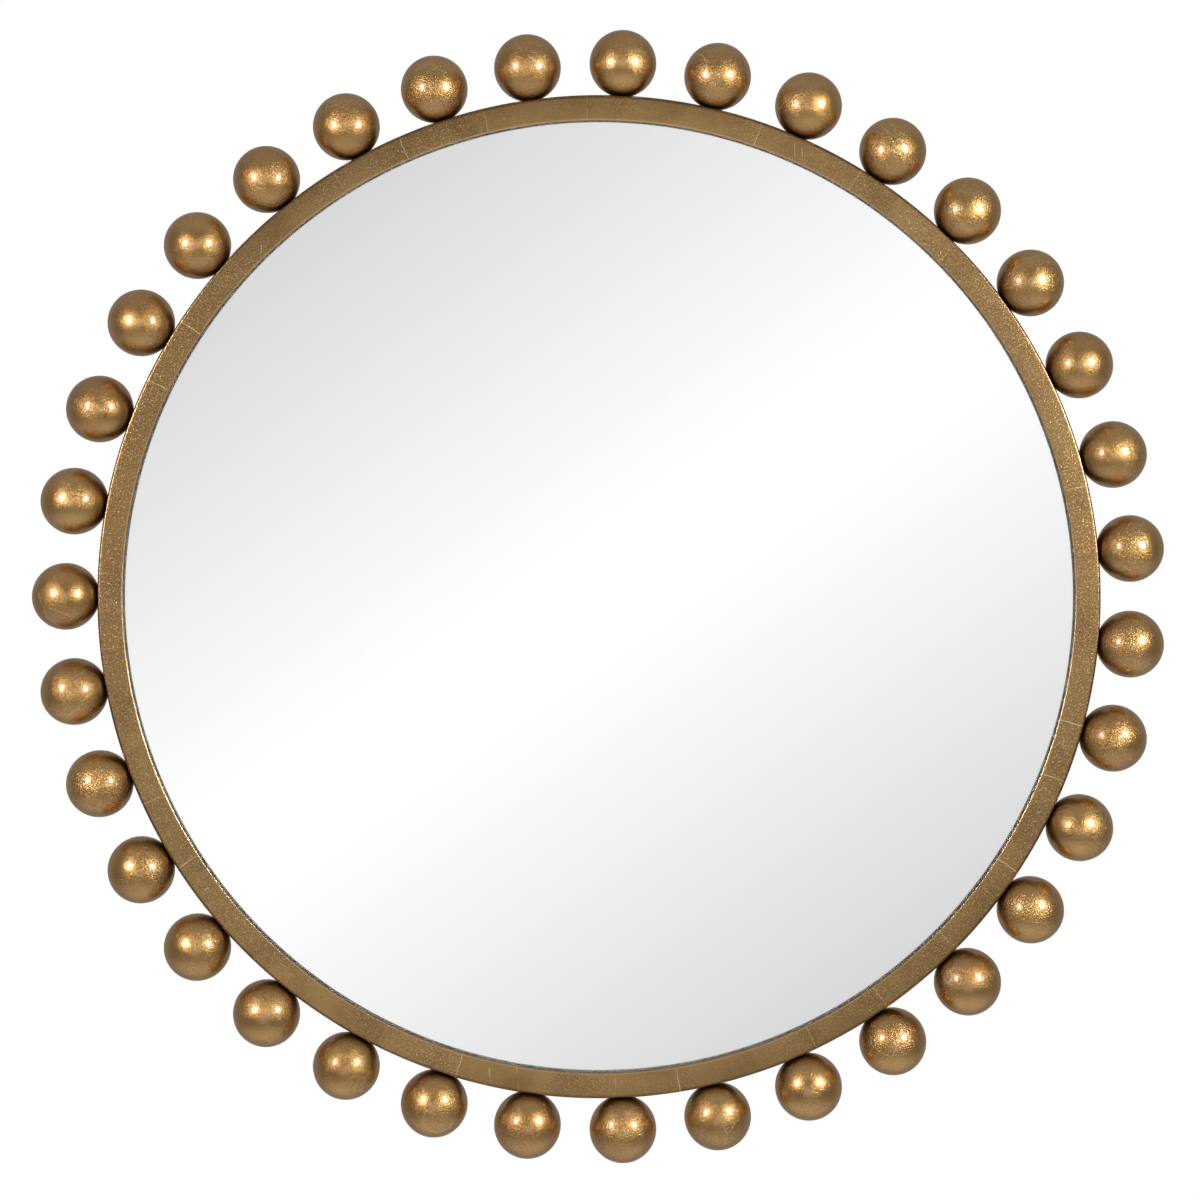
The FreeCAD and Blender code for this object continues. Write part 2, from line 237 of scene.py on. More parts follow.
def painted_steel():
    """Satin black paint with fine orange peel, scuffed grey in places."""
    material, tree, principled = new_material("satin black paint")
    peel = noise(tree, object_place(tree), PEEL_SCALE)
    scuffs = noise(tree, object_place(tree), SCUFF_SCALE, 5.0, 1.5)
    tree.links.new(mixed(tree, between(tree, scuffs, 0.58, 0.75), PAINT_BLACK, PAINT_WORN),
                   principled.inputs["Base Color"])
    tree.links.new(between(tree, scuffs, 0.3, 0.7, 0.34, 0.5), principled.inputs["Roughness"])
    bump_into(tree, principled, peel, PEEL_RELIEF)
    return material


def object_place(tree):
    return add_node(tree, "ShaderNodeTexCoord").outputs["Object"]


def arc(centre, radius, start, end, steps):
    """Points (radius, y) on an arc about a (radius, y) centre; angles in degrees from +radius."""
    angles = [math.radians(start + (end - start) * step / steps) for step in range(steps + 1)]
    return [(centre[0] + radius * math.cos(angle), centre[1] + radius * math.sin(angle))
            for angle in angles]


def lathe(name, outline, steps, closed=True):
    """Turns (radius, y) points about Y. Points on the axis become single poles."""
    mesh = bmesh.new()
    rows = []
    for radius, y in outline:
        count = steps if radius > 0 else 1
        turns = [2 * math.pi * step / steps for step in range(count)]
        rows.append([mesh.verts.new((radius * math.sin(turn), y, radius * math.cos(turn)))
                     for turn in turns])
    pairs = list(zip(rows, rows[1:] + rows[:1])) if closed else list(zip(rows, rows[1:]))
    for first, second in pairs:
        for step in range(steps):
            ahead = (step + 1) % steps
            corners = [first[step % len(first)], first[ahead % len(first)],
                       second[ahead % len(second)], second[step % len(second)]]
            corners = [corner for index, corner in enumerate(corners) if corner not in corners[:index]]
            if len(corners) > 2:
                mesh.faces.new(corners)
    bmesh.ops.recalc_face_normals(mesh, faces=mesh.faces)
    data = bpy.data.meshes.new(name)
    mesh.to_mesh(data)
    mesh.free()
    data.shade_smooth()
    piece = bpy.data.objects.new(name, data)
    bpy.context.scene.collection.objects.link(piece)
    return piece


def crowned_face(inner, outer, y, crown, steps):
    """The ring's front, swelling by crown in the middle."""
    shares = [step / steps for step in range(steps + 1)]
    return [(outer + (inner - outer) * share, y - crown * math.sin(math.pi * share)) for share in shares]


def sharp(point, reach, before, after):
    """A corner held crisp under smooth shading by two close neighbours."""
    def toward(other):
        length = math.dist(point, other)
        return tuple(a + (b - a) * reach / length for a, b in zip(point, other))
    return [toward(before), point, toward(after)]


heel = (ring_outer - RING_HEEL_ROUND, ring_front + RING_HEEL_ROUND)
toe = (sight_radius + RING_TOE_ROUND, ring_front + RING_TOE_ROUND)
root = (wall_inner - RING_ROOT_FILLET, flange_rear + RING_ROOT_FILLET)
rear_outer = (ring_outer, ring_rear)
rear_inner = (wall_inner, ring_rear)
flange_edge = (sight_radius, flange_rear)
ring_section = (
    arc(heel, RING_HEEL_ROUND, 0, -90, 8)
    + crowned_face(toe[0], heel[0], ring_front, RING_CROWN, 14)[1:-1]
    + arc(toe, RING_TOE_ROUND, -90, -180, 5)
    + sharp(flange_edge, CRISP, toe, (wall_inner, flange_rear))
    + arc(root, RING_ROOT_FILLET, -90, 0, 5)
    + sharp(rear_inner, CRISP, root, rear_outer)
    + sharp(rear_outer, CRISP, rear_inner, heel)
)
ring = lathe("gilded_ring", ring_section, RING_STEPS)

gold_leaf_group()


def ring_leaf_place(tree):
    """The leaf's place on the ring, where its grain has its own scale."""
    return add_node(tree, "ShaderNodeVectorMath", {0: object_place(tree), "Scale": RING_LEAF_SCALE},
                    operation="SCALE").outputs[0]


ring_gold, ring_tree, ring_surface, ring_leaf = leafed_material(
    "leaf on steel", ring_leaf_place, RING_RELIEF)
ring_surface.inputs["Coat Weight"].default_value = RING_COAT
ring_tree.links.new(maths(ring_tree, "MULTIPLY", ring_leaf.outputs["Roughness"], RING_SMOOTHNESS),
                    ring_surface.inputs["Roughness"])
ring_place = add_node(ring_tree, "ShaderNodeSeparateXYZ", {0: object_place(ring_tree)}).outputs
around = maths(ring_tree, "ARCTAN2", ring_place["X"], ring_place["Z"])
ring_leaf.inputs["Gold"].default_value = RING_GOLD
ring_leaf.inputs["Deep"].default_value = RING_DEEP
flat_place = add_node(ring_tree, "ShaderNodeCombineXYZ", {0: ring_place["X"], 2: ring_place["Z"]}).outputs[0]
from_middle = add_node(ring_tree, "ShaderNodeVectorMath", {0: flat_place},
                       operation="LENGTH").outputs["Value"]

squares = (ring_outer - RING_FACE / 2) / LEAF_SQUARE
wander = noise(ring_tree, object_place(ring_tree), LAP_WANDER_SCALE)
along = maths(ring_tree, "ADD", maths(ring_tree, "MULTIPLY", around, squares),
              maths(ring_tree, "MULTIPLY", wander, LAP_WANDER))
to_lap = add_node(ring_tree, "ShaderNodeTexVoronoi", {"W": along, "Scale": 1.0},
                  voronoi_dimensions="1D", feature="DISTANCE_TO_EDGE").outputs["Distance"]
square_tone = add_node(ring_tree, "ShaderNodeTexVoronoi", {"W": along, "Scale": 1.0},
                       voronoi_dimensions="1D").outputs["Color"]
square_tone = add_node(ring_tree, "ShaderNodeSeparateColor", {0: square_tone}).outputs[0]
patchy = noise(ring_tree, object_place(ring_tree), RING_PATCH_SCALE)
pale_lines = maths(ring_tree, "MULTIPLY", between(ring_tree, to_lap, LAP_WIDTH, LAP_WIDTH / 7),
            between(ring_tree, patchy, 0.45, 0.62, 0.0, 0.75))

slanted = add_node(ring_tree, "ShaderNodeMapping", {
    "Vector": object_place(ring_tree), "Rotation": (0.0, SCRATCH_SLANT, 0.0),
    "Scale": (1.0, 1.0, SCRATCH_STRETCH)}).outputs[0]
streaks = between(ring_tree, noise(ring_tree, slanted, FLECK_SCALE), 0.70, 0.75)
handled = between(ring_tree, noise(ring_tree, object_place(ring_tree), HANDLED_SCALE, 1.0), 0.52, 0.62)
scratches = maths(ring_tree, "MULTIPLY", streaks, handled)
color = mixed(ring_tree, maths(ring_tree, "MULTIPLY", square_tone, SQUARE_CONTRAST),
              ring_leaf.outputs["Color"], RING_DEEP)
# A painted highlight: pale leaf colour along the sight edge, where the rounded toe catches the light.
painted_sight_highlight = between(ring_tree, from_middle, sight_radius + SIGHT_EDGE_HIGHLIGHT[0], sight_radius + SIGHT_EDGE_HIGHLIGHT[1],
                    0.0, 0.6)
# The pale lines are the leaf laps and the painted highlight along the sight edge.
pale_lines = maths(ring_tree, "MAXIMUM", pale_lines, painted_sight_highlight)
color = mixed(ring_tree, maths(ring_tree, "MAXIMUM", pale_lines, maths(ring_tree, "MULTIPLY", scratches, 0.6)),
              color, LEAF_PALE)
ring_tree.links.new(color, ring_surface.inputs["Base Color"])
# Size brown past the heel: a rubbed edge, and painted shade on the outer wall where the balls sit.
bare_and_shaded = between(ring_tree, from_middle, ring_outer - HEEL_WEAR_AND_SHADE[0], ring_outer - HEEL_WEAR_AND_SHADE[1])
ring_tree.links.new(bare_and_shaded, ring_leaf.inputs["Rub And Shade"])
sideways = maths(ring_tree, "MULTIPLY", maths(ring_tree, "ABSOLUTE", ring_place["X"]),
                 SIDE_ROUGHENING / ring_outer)
coarse = maths(ring_tree, "ADD", patchy, sideways)
ring_tree.links.new(between(ring_tree, coarse, 0.52, 0.80, 0.30, 1.15), ring_leaf.inputs["Crinkle"])
ring.data.materials.append(ring_gold)

PAINT_BLACK = (0.017, 0.016, 0.015, 1.0)
PAINT_WORN = (0.060, 0.055, 0.050, 1.0)
PEEL_SCALE = 420.0
PEEL_RELIEF = 0.00003
SCUFF_SCALE = 45.0
LEAF_RETURN = 0.001           # of leaf that laps over the rear edge before the paint begins
PRIMER_GREY = (0.80, 0.78, 0.75, 1.0)
PRIMER_SPECK_SCALE = 300.0
PRIMER_ROUGHNESS = 0.55
paint = painted_steel()
primer, primer_tree, primer_surface = new_material("grey primer")
primer_specks = noise(primer_tree, object_place(primer_tree), PRIMER_SPECK_SCALE, 3.0)
primer_tree.links.new(mixed(primer_tree, between(primer_tree, primer_specks, 0.4, 0.7, 0.0, 0.4),
                            PRIMER_GREY, PAINT_WORN), primer_surface.inputs["Base Color"])
primer_surface.inputs["Roughness"].default_value = PRIMER_ROUGHNESS
ring.data.materials.append(paint)
ring.data.materials.append(primer)
for face in ring.data.polygons:
    from_axis = math.hypot(face.center.x, face.center.z)
    behind_flange = face.center.y > flange_rear - CRISP / 2 and from_axis < ring_outer - LEAF_RETURN
    on_flange = face.center.y < flange_rear + CRISP / 2 and from_axis > sight_radius + CRISP / 4
    face.material_index = (2 if on_flange else 1) if behind_flange else 0
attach(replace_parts(ring, "frame_ring"), "mirror")


# ---- The balls --------------------------------------------------------------------------
# Turned hardwood balls, sanded, sized and gilded by hand, then screwed to the outer wall of
# the ring through a small flat seat. They are evenly spaced, with one at nine o'clock.

BALL_SEGMENTS = 72
BALL_RINGS = 36
BALL_FIRST_ANGLE = math.radians(270)
BALL_UNEVENNESS = 0.00025     # how far hand sanding leaves a ball off a true sphere
UNEVENNESS_SCALE = 55.0
BALL_RELIEF = 0.00060
SEAT_SHADOW = (-0.0285, -0.0318)  # heights on a ball between which its colour turns size brown, a painted shade where it sits on the ring
CRACK_HEIGHT = -0.013         # of a crack on its ball, which is negative towards the ring
CRACK_HALF = 0.008
CRACK_WIDTH = (0.00042, 0.00012)  # half of it, from the edge of a crack to its full depth
CRACK_BEND = 26.0             # per metre
CRACK_RAGGEDNESS = 0.0009
CRACK_RAGGED_SCALE = 500.0
CRACK_RARITY = 0.84           # balls whose seed is above this are cracked
LEAF_PATCH_SCALE = 30.0
LEAF_SPREAD = 7.0             # how far apart the balls are in the leaf's pattern
BALL_LAP_SCALE = 19.0
BALL_LAP_WIDTH = (0.012, 0.002)  # from the edge of a lap to its middle, in its pattern's cells

ball_nodes = sorted(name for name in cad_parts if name.startswith("ball_") and name[5:].isdigit())
first_low, first_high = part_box(ball_nodes[0])
ball_radius = (first_high.y - first_low.y) / 2
ball_circle = -first_low.x - ball_radius
ball_seat = ring_outer - (ball_circle - ball_radius)


def attribute(tree, name):
    return add_node(tree, "ShaderNodeAttribute", attribute_name=name)


def ball_place(tree):
    """The leaf's own place on each ball, moved apart from ball to ball."""
    seed = attribute(tree, "ball_seed").outputs["Fac"]
    offset = maths(tree, "MULTIPLY", seed, LEAF_SPREAD)
    spread = add_node(tree, "ShaderNodeCombineXYZ", {0: offset, 1: offset, 2: offset}).outputs[0]
    return add_node(tree, "ShaderNodeVectorMath", {0: object_place(tree), 1: spread},
                    operation="ADD").outputs[0]


def crack_in(tree, on_ball, seed):
    """An open crack in the dried wood, across the lower front of about one ball in six."""
    bend = maths(tree, "MULTIPLY", maths(tree, "MULTIPLY", on_ball["X"], on_ball["X"]), CRACK_BEND)
    tilt = maths(tree, "MULTIPLY", on_ball["X"], maths(tree, "SUBTRACT", seed, 0.9))
    middle = maths(tree, "ADD", maths(tree, "ADD", bend, tilt), CRACK_HEIGHT)
    ragged = noise(tree, ball_place(tree), CRACK_RAGGED_SCALE, 3.0)
    ragged = maths(tree, "MULTIPLY", ragged, CRACK_RAGGEDNESS)
    off = maths(tree, "ABSOLUTE", maths(tree, "SUBTRACT", maths(tree, "ADD", on_ball["Z"], ragged), middle))
    line = maths(tree, "MULTIPLY", between(tree, off, *CRACK_WIDTH),
                 between(tree, maths(tree, "ABSOLUTE", on_ball["X"]), CRACK_HALF, CRACK_HALF * 0.6))
    chosen = maths(tree, "GREATER_THAN", seed, CRACK_RARITY)
    in_front = maths(tree, "LESS_THAN", on_ball["Y"], 0.0)
    return maths(tree, "MULTIPLY", line, maths(tree, "MULTIPLY", chosen, in_front))


def balls_material():
    material, tree, principled, leaf = leafed_material("leaf on wood", ball_place, BALL_RELIEF)
    on_ball = attribute(tree, "on_ball").outputs["Vector"]
    on_ball = add_node(tree, "ShaderNodeSeparateXYZ", {0: on_ball}).outputs
    seed = attribute(tree, "ball_seed").outputs["Fac"]
    # Painted shade: the side of each ball that sits on the ring is darkened to size brown.
    shadowed = between(tree, on_ball["Z"], *SEAT_SHADOW)
    crack = crack_in(tree, on_ball, seed)
    tree.links.new(maths(tree, "MAXIMUM", shadowed, crack), leaf.inputs["Rub And Shade"])
    patchy = noise(tree, ball_place(tree), LEAF_PATCH_SCALE)
    tree.links.new(between(tree, patchy, 0.35, 0.62, 0.45, 1.25), leaf.inputs["Crinkle"])
    to_lap = edges(tree, ball_place(tree), BALL_LAP_SCALE)
    laps = maths(tree, "MULTIPLY", between(tree, to_lap, *BALL_LAP_WIDTH),
                 between(tree, patchy, 0.42, 0.60, 0.0, 0.5))
    color = mixed(tree, laps, leaf.outputs["Color"], LEAF_PALE)
    warm = maths(tree, "MULTIPLY", maths(tree, "SUBTRACT", seed, 0.5), 0.5, clamp=True)
    tree.links.new(mixed(tree, warm, color, LEAF_DEEP), principled.inputs["Base Color"])
    return material


def geometry_tree(name, inputs):
    """A tree with these inputs, the identifier of each, and their sockets inside the tree."""
    tree = bpy.data.node_groups.new(name, "GeometryNodeTree")
    sockets = {}
    for label, kind in inputs.items():
        socket = tree.interface.new_socket(label, in_out="INPUT", socket_type="NodeSocket" + kind)
        sockets[label] = socket.identifier
    tree.interface.new_socket("Geometry", in_out="OUTPUT", socket_type="NodeSocketGeometry")
    return tree, sockets, tree.nodes.new("NodeGroupInput").outputs


def send_out(tree, geometry, material):
    """Ends a geometry tree: the whole gets its material and goes to the output."""
    made = add_node(tree, "GeometryNodeSetMaterial", {"Geometry": geometry, "Material": material})
    tree.links.new(made.outputs[0], tree.nodes.new("NodeGroupOutput").inputs[0])


def balls_tree(material):
    """Seated balls round a circle, each with its own seed and its own place for the leaf."""
    tree, sockets, given = geometry_tree("circle of balls", {
        "Count": "Int", "Circle Radius": "Float", "Ball Radius": "Float",
        "Seat Depth": "Float", "First Angle": "Float", "Unevenness": "Float"})
    index = tree.nodes.new("GeometryNodeInputIndex").outputs[0]
    step = maths(tree, "DIVIDE", 2 * math.pi, given["Count"])
    angle = maths(tree, "ADD", given["First Angle"], maths(tree, "MULTIPLY", index, step))
    across = maths(tree, "MULTIPLY", maths(tree, "SINE", angle), given["Circle Radius"])
    up = maths(tree, "MULTIPLY", maths(tree, "COSINE", angle), given["Circle Radius"])
    centre = add_node(tree, "ShaderNodeCombineXYZ", {0: across, 2: up}).outputs[0]
    line = add_node(tree, "GeometryNodeMeshLine", {"Count": given["Count"]}).outputs[0]
    points = add_node(tree, "GeometryNodeSetPosition", {"Geometry": line, "Position": centre}).outputs[0]
    random = add_node(tree, "FunctionNodeRandomValue", {"Seed": 4}, data_type="FLOAT")
    points = add_node(tree, "GeometryNodeStoreNamedAttribute",
                      {"Geometry": points, "Name": "ball_seed", "Value": random.outputs["Value"]},
                      data_type="FLOAT", domain="POINT").outputs[0]
    sphere = add_node(tree, "GeometryNodeMeshUVSphere", {
        "Segments": BALL_SEGMENTS, "Rings": BALL_RINGS, "Radius": given["Ball Radius"]}).outputs[0]
    position = tree.nodes.new("GeometryNodeInputPosition").outputs[0]
    axes = add_node(tree, "ShaderNodeSeparateXYZ", {0: position}).outputs
    seat = maths(tree, "SUBTRACT", given["Seat Depth"], given["Ball Radius"])
    flat = add_node(tree, "ShaderNodeCombineXYZ",
                    {0: axes["X"], 1: axes["Y"], 2: maths(tree, "MAXIMUM", axes["Z"], seat)}).outputs[0]
    ball = add_node(tree, "GeometryNodeSetPosition", {"Geometry": sphere, "Position": flat}).outputs[0]
    ball = add_node(tree, "GeometryNodeStoreNamedAttribute",
                    {"Geometry": ball, "Name": "on_ball", "Value": position},
                    data_type="FLOAT_VECTOR", domain="POINT").outputs[0]
    turned = add_node(tree, "ShaderNodeCombineXYZ", {1: angle}).outputs[0]
    turned = add_node(tree, "FunctionNodeEulerToRotation", {0: turned}).outputs[0]
    placed = add_node(tree, "GeometryNodeInstanceOnPoints",
                      {"Points": points, "Instance": ball, "Rotation": turned}).outputs[0]
    whole = add_node(tree, "GeometryNodeRealizeInstances", {0: placed}).outputs[0]
    wave = noise(tree, position, UNEVENNESS_SCALE)
    swell = maths(tree, "MULTIPLY", maths(tree, "SUBTRACT", wave, 0.5), given["Unevenness"])
    normal = tree.nodes.new("GeometryNodeInputNormal").outputs[0]
    offset = add_node(tree, "ShaderNodeVectorMath", {0: normal, "Scale": swell},
                      operation="SCALE").outputs[0]
    whole = add_node(tree, "GeometryNodeSetPosition", {"Geometry": whole, "Offset": offset}).outputs[0]
    whole = add_node(tree, "GeometryNodeSetShadeSmooth", {"Geometry": whole}).outputs[0]
    send_out(tree, whole, material)
    return tree, sockets


def grown(name, tree, sockets, values, points=()):
    """Runs a tree on a mesh of loose points and keeps the result as a plain mesh object."""
    piece = bpy.data.objects.new(name, bpy.data.meshes.new(name))
    piece.data.from_pydata(points, [], [])
    bpy.context.scene.collection.objects.link(piece)
    modifier = piece.modifiers.new(name, "NODES")
    modifier.node_group = tree
    for socket, value in values.items():
        modifier[sockets[socket]] = value
    result = bpy.data.meshes.new_from_object(piece.evaluated_get(bpy.context.evaluated_depsgraph_get()))
    piece.modifiers.clear()
    piece.data = result
    piece.data.name = name
    return piece


balls_nodes, balls_sockets = balls_tree(balls_material())
balls = grown("gilded_balls", balls_nodes, balls_sockets, {
    "Count": len(ball_nodes), "Circle Radius": ball_circle, "Ball Radius": ball_radius,
    "Seat Depth": ball_seat, "First Angle": BALL_FIRST_ANGLE, "Unevenness": BALL_UNEVENNESS})
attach(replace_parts(balls, *ball_nodes), "mirror")


# ---- The mirror glass -------------------------------------------------------------------
# A round pane of 4 mm float glass with a ground edge, silvered on its back. It lies on foam
# tape behind the ring's flange, so the ring's lip shows twice: itself and its reflection.

SILVER_GAP = 0.00006          # keeps the silvered face clear of the board behind it
GLASS_BEVEL = 0.0006
GLASS_BORDER = 0.02           # of the band of narrow faces inside the ground edge
GLASS_TINT = (0.986, 0.990, 0.987, 1.0)
GLASS_INDEX = 1.52
GLASS_STEPS = 360
SILVER = (0.955, 0.957, 0.957, 1.0)

glass_low, glass_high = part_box("mirror_glass")
glass_rim = glass_high.x
silver_y = glass_high.y - SILVER_GAP
pane = lathe("mirror_pane", [
    (0, glass_low.y), (glass_rim - GLASS_BORDER, glass_low.y), (glass_rim - GLASS_BEVEL, glass_low.y),
    (glass_rim, glass_low.y + GLASS_BEVEL), (glass_rim, silver_y - GLASS_BEVEL),
    (glass_rim - GLASS_BEVEL, silver_y), (glass_rim - GLASS_BORDER, silver_y), (0, silver_y)],
    GLASS_STEPS, closed=False)
pane.data.shade_flat()

clear_glass, _, glass_surface = new_material("clear glass")
glass_surface.inputs["Base Color"].default_value = GLASS_TINT
glass_surface.inputs["Transmission Weight"].default_value = 1.0
glass_surface.inputs["Roughness"].default_value = 0.0
glass_surface.inputs["IOR"].default_value = GLASS_INDEX
silvering, _, silver_surface = new_material("silvering")
silver_surface.inputs["Base Color"].default_value = SILVER
silver_surface.inputs["Metallic"].default_value = 1.0
silver_surface.inputs["Roughness"].default_value = 0.0
pane.data.materials.append(clear_glass)
pane.data.materials.append(silvering)
for face in pane.data.polygons:
    face.material_index = int(face.center.y > silver_y - SILVER_GAP / 2)
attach(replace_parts(pane, "mirror_glass"), "mirror")


# ---- The foam tape and the setting blocks -----------------------------------------------
# Pale closed-cell tape beds the glass on the flange, and two rubber blocks carry its rim.

def dull(name, color, roughness, pore_scale, relief):
    """Foam or rubber, paler between its pores."""
    material, tree, principled = new_material(name)
    pores = noise(tree, object_place(tree), pore_scale, 3.0)
    lighter = tuple(min(1.0, channel * 2.0) for channel in color[:3]) + (1.0,)
    tree.links.new(mixed(tree, between(tree, pores, 0.35, 0.7), color, lighter),
                   principled.inputs["Base Color"])
    principled.inputs["Roughness"].default_value = roughness
    bump_into(tree, principled, pores, relief)
    return material


def refinish(material, *nodes):
    """Gives CAD nodes a finish and leaves their shapes alone."""
    for name in nodes:
        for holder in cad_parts[name].material_slots:
            holder.material = material


foam = dull("closed-cell foam", (0.42, 0.41, 0.39, 1.0), 0.95, 1400.0, 0.0002)
rubber = dull("moulded rubber", (0.024, 0.023, 0.022, 1.0), 0.62, 2600.0, 0.00004)
refinish(foam, "glass_tape")
refinish(rubber, "setting_blocks")


# ---- The back board ---------------------------------------------------------------------
# A disc of brown fibreboard, smooth on the face that shows and flecked with darker fibres.

BOARD_BROWN = (0.205, 0.118, 0.058, 1.0)
BOARD_DARK = (0.085, 0.045, 0.022, 1.0)
BOARD_PALE = (0.36, 0.235, 0.13, 1.0)
FIBRE_SCALE = 1500.0
FIBRE_STRETCH = 0.35
BOARD_CLOUD_SCALE = 14.0
BOARD_ROUGHNESS = 0.72
BOARD_RELIEF = 0.00005

board, board_tree, board_surface = new_material("fibreboard")
fibre_place = add_node(board_tree, "ShaderNodeMapping",
                       {"Vector": object_place(board_tree), "Scale": (1.0, 1.0, FIBRE_STRETCH)}).outputs[0]
flecks = noise(board_tree, fibre_place, FIBRE_SCALE, 3.0, 0.8)
clouds = noise(board_tree, object_place(board_tree), BOARD_CLOUD_SCALE, 4.0)
board_color = mixed(board_tree, between(board_tree, clouds, 0.3, 0.7, 0.0, 0.35), BOARD_BROWN, BOARD_DARK)
board_color = mixed(board_tree, between(board_tree, flecks, 0.54, 0.70, 0.0, 0.8), board_color, BOARD_PALE)
board_color = mixed(board_tree, between(board_tree, flecks, 0.46, 0.32, 0.0, 0.8), board_color, BOARD_DARK)
board_tree.links.new(board_color, board_surface.inputs["Base Color"])
board_surface.inputs["Roughness"].default_value = BOARD_ROUGHNESS
bump_into(board_tree, board_surface, flecks, BOARD_RELIEF)
refinish(board, "back_board")


# ---- The brackets and the rails ---------------------------------------------------------
# Mild steel strip and flat bar inside the ring, painted satin black with it. The brackets
# hold the board and the rails carry hangers and bumpers; beads of weld join them to the wall.

BEAD_RADIUS = 0.0017
BEAD_PITCH = 0.0018
BEAD_SINK = 0.35              # how deep a bead sits in the wall, as a share of its radius
SMALLEST_BEAD = 0.72          # against the largest
BRACKET_COUNT = 7
BRACKET_WIDTH = 0.020
BRACKET_GAUGE = 0.002
BRACKET_FOOT = 0.020
BRACKET_WALL_GAP = 0.0007     # between the wall and the corners of a bracket's flat leg
BRACKET_OFFSET = 1.5          # gaps between balls, from the first ball to the first bracket

bracket_nodes = sorted(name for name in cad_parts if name.startswith("retaining_bracket_"))
refinish(paint, "hanging_rail", "lower_rail", *bracket_nodes)
rail_low, rail_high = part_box("hanging_rail")
rail_rear = rail_high.y
board_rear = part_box("back_board")[1].y
ball_step = 2 * math.pi / len(ball_nodes)
bracket_turns = [BALL_FIRST_ANGLE + BRACKET_OFFSET * ball_step + number * 2 * math.pi / BRACKET_COUNT
                 for number in range(BRACKET_COUNT)]


def at_clock(across, y, up, turn):
    """A place made at twelve o'clock, moved round the ring."""
    return (across * math.cos(turn) + up * math.sin(turn), y, up * math.cos(turn) - across * math.sin(turn))


def reach_of_wall(across):
    """How far out a bead beside the wall sits, this far from the middle line of its piece."""
    return math.sqrt((wall_inner - BEAD_RADIUS * BEAD_SINK) ** 2 - across ** 2)


def steps_between(start, end, pitch):
    count = max(1, round(abs(end - start) / pitch))
    return [start + (end - start) * step / count for step in range(count + 1)]


rail_seams = []
for rail_node in ("hanging_rail", "lower_rail"):
    low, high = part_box(rail_node)
    for height in steps_between(low.z + BEAD_PITCH, high.z - BEAD_PITCH, BEAD_PITCH):
        bead_x = reach_of_wall(height)
        rail_seams += [(-bead_x, rail_rear, height), (bead_x, rail_rear, height)]
bracket_seams = []
for turn in bracket_turns:
    for side in (-BRACKET_WIDTH / 2, BRACKET_WIDTH / 2):
        for y in steps_between(board_rear + 2 * BEAD_RADIUS, ring_rear - BEAD_RADIUS, BEAD_PITCH):
            bracket_seams.append(at_clock(side, y, reach_of_wall(side), turn))


def weld_tree(material):
    """A bead of weld metal at each point, each a little bigger or smaller than the last."""
    tree, sockets, given = geometry_tree("weld beads", {
        "Seams": "Geometry", "Bead Radius": "Float", "Smallest": "Float"})
    bead = add_node(tree, "GeometryNodeMeshIcoSphere", {"Radius": given["Bead Radius"], "Subdivisions": 2})
    size = add_node(tree, "FunctionNodeRandomValue", {2: given["Smallest"], 3: 1.0, "Seed": 11},
                    data_type="FLOAT").outputs["Value"]
    placed = add_node(tree, "GeometryNodeInstanceOnPoints",
                      {"Points": given["Seams"], "Instance": bead.outputs[0], "Scale": size}).outputs[0]
    whole = add_node(tree, "GeometryNodeRealizeInstances", {0: placed}).outputs[0]
    whole = add_node(tree, "GeometryNodeSetShadeSmooth", {"Geometry": whole}).outputs[0]
    send_out(tree, whole, material)
    return tree, sockets


bead_tree, bead_sockets = weld_tree(paint)
beads = grown("weld_beads", bead_tree, bead_sockets,
              {"Bead Radius": BEAD_RADIUS, "Smallest": SMALLEST_BEAD}, rail_seams + bracket_seams)
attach(beads, "mirror")


# ---- The hangers ------------------------------------------------------------------------
# Bent-wire D-rings that swing in folded straps, stamped and bright zinc plated.

ZINC = (0.62, 0.63, 0.64, 1.0)
ZINC_DULL = (0.40, 0.41, 0.41, 1.0)
BLOOM_SCALE = 260.0
BLOOM_RELIEF = 0.00003

zinc, zinc_tree, zinc_surface = new_material("zinc plate")
bloom = noise(zinc_tree, object_place(zinc_tree), BLOOM_SCALE, 4.0, 0.8)
zinc_tree.links.new(mixed(zinc_tree, between(zinc_tree, bloom, 0.35, 0.7), ZINC, ZINC_DULL),
                    zinc_surface.inputs["Base Color"])
zinc_surface.inputs["Metallic"].default_value = 1.0
zinc_tree.links.new(between(zinc_tree, bloom, 0.3, 0.7, 0.28, 0.42), zinc_surface.inputs["Roughness"])
bump_into(zinc_tree, zinc_surface, bloom, BLOOM_RELIEF)
refinish(zinc, "ball_screws", "hanger_strap_left", "hanger_strap_right", "d_ring_left", "d_ring_right")


# ---- The screws -------------------------------------------------------------------------
# Zinc-plated pan-head screws with a cross recess, each driven to its own angle: one in each
# bracket, two in each strap and one sunk in each bumper.

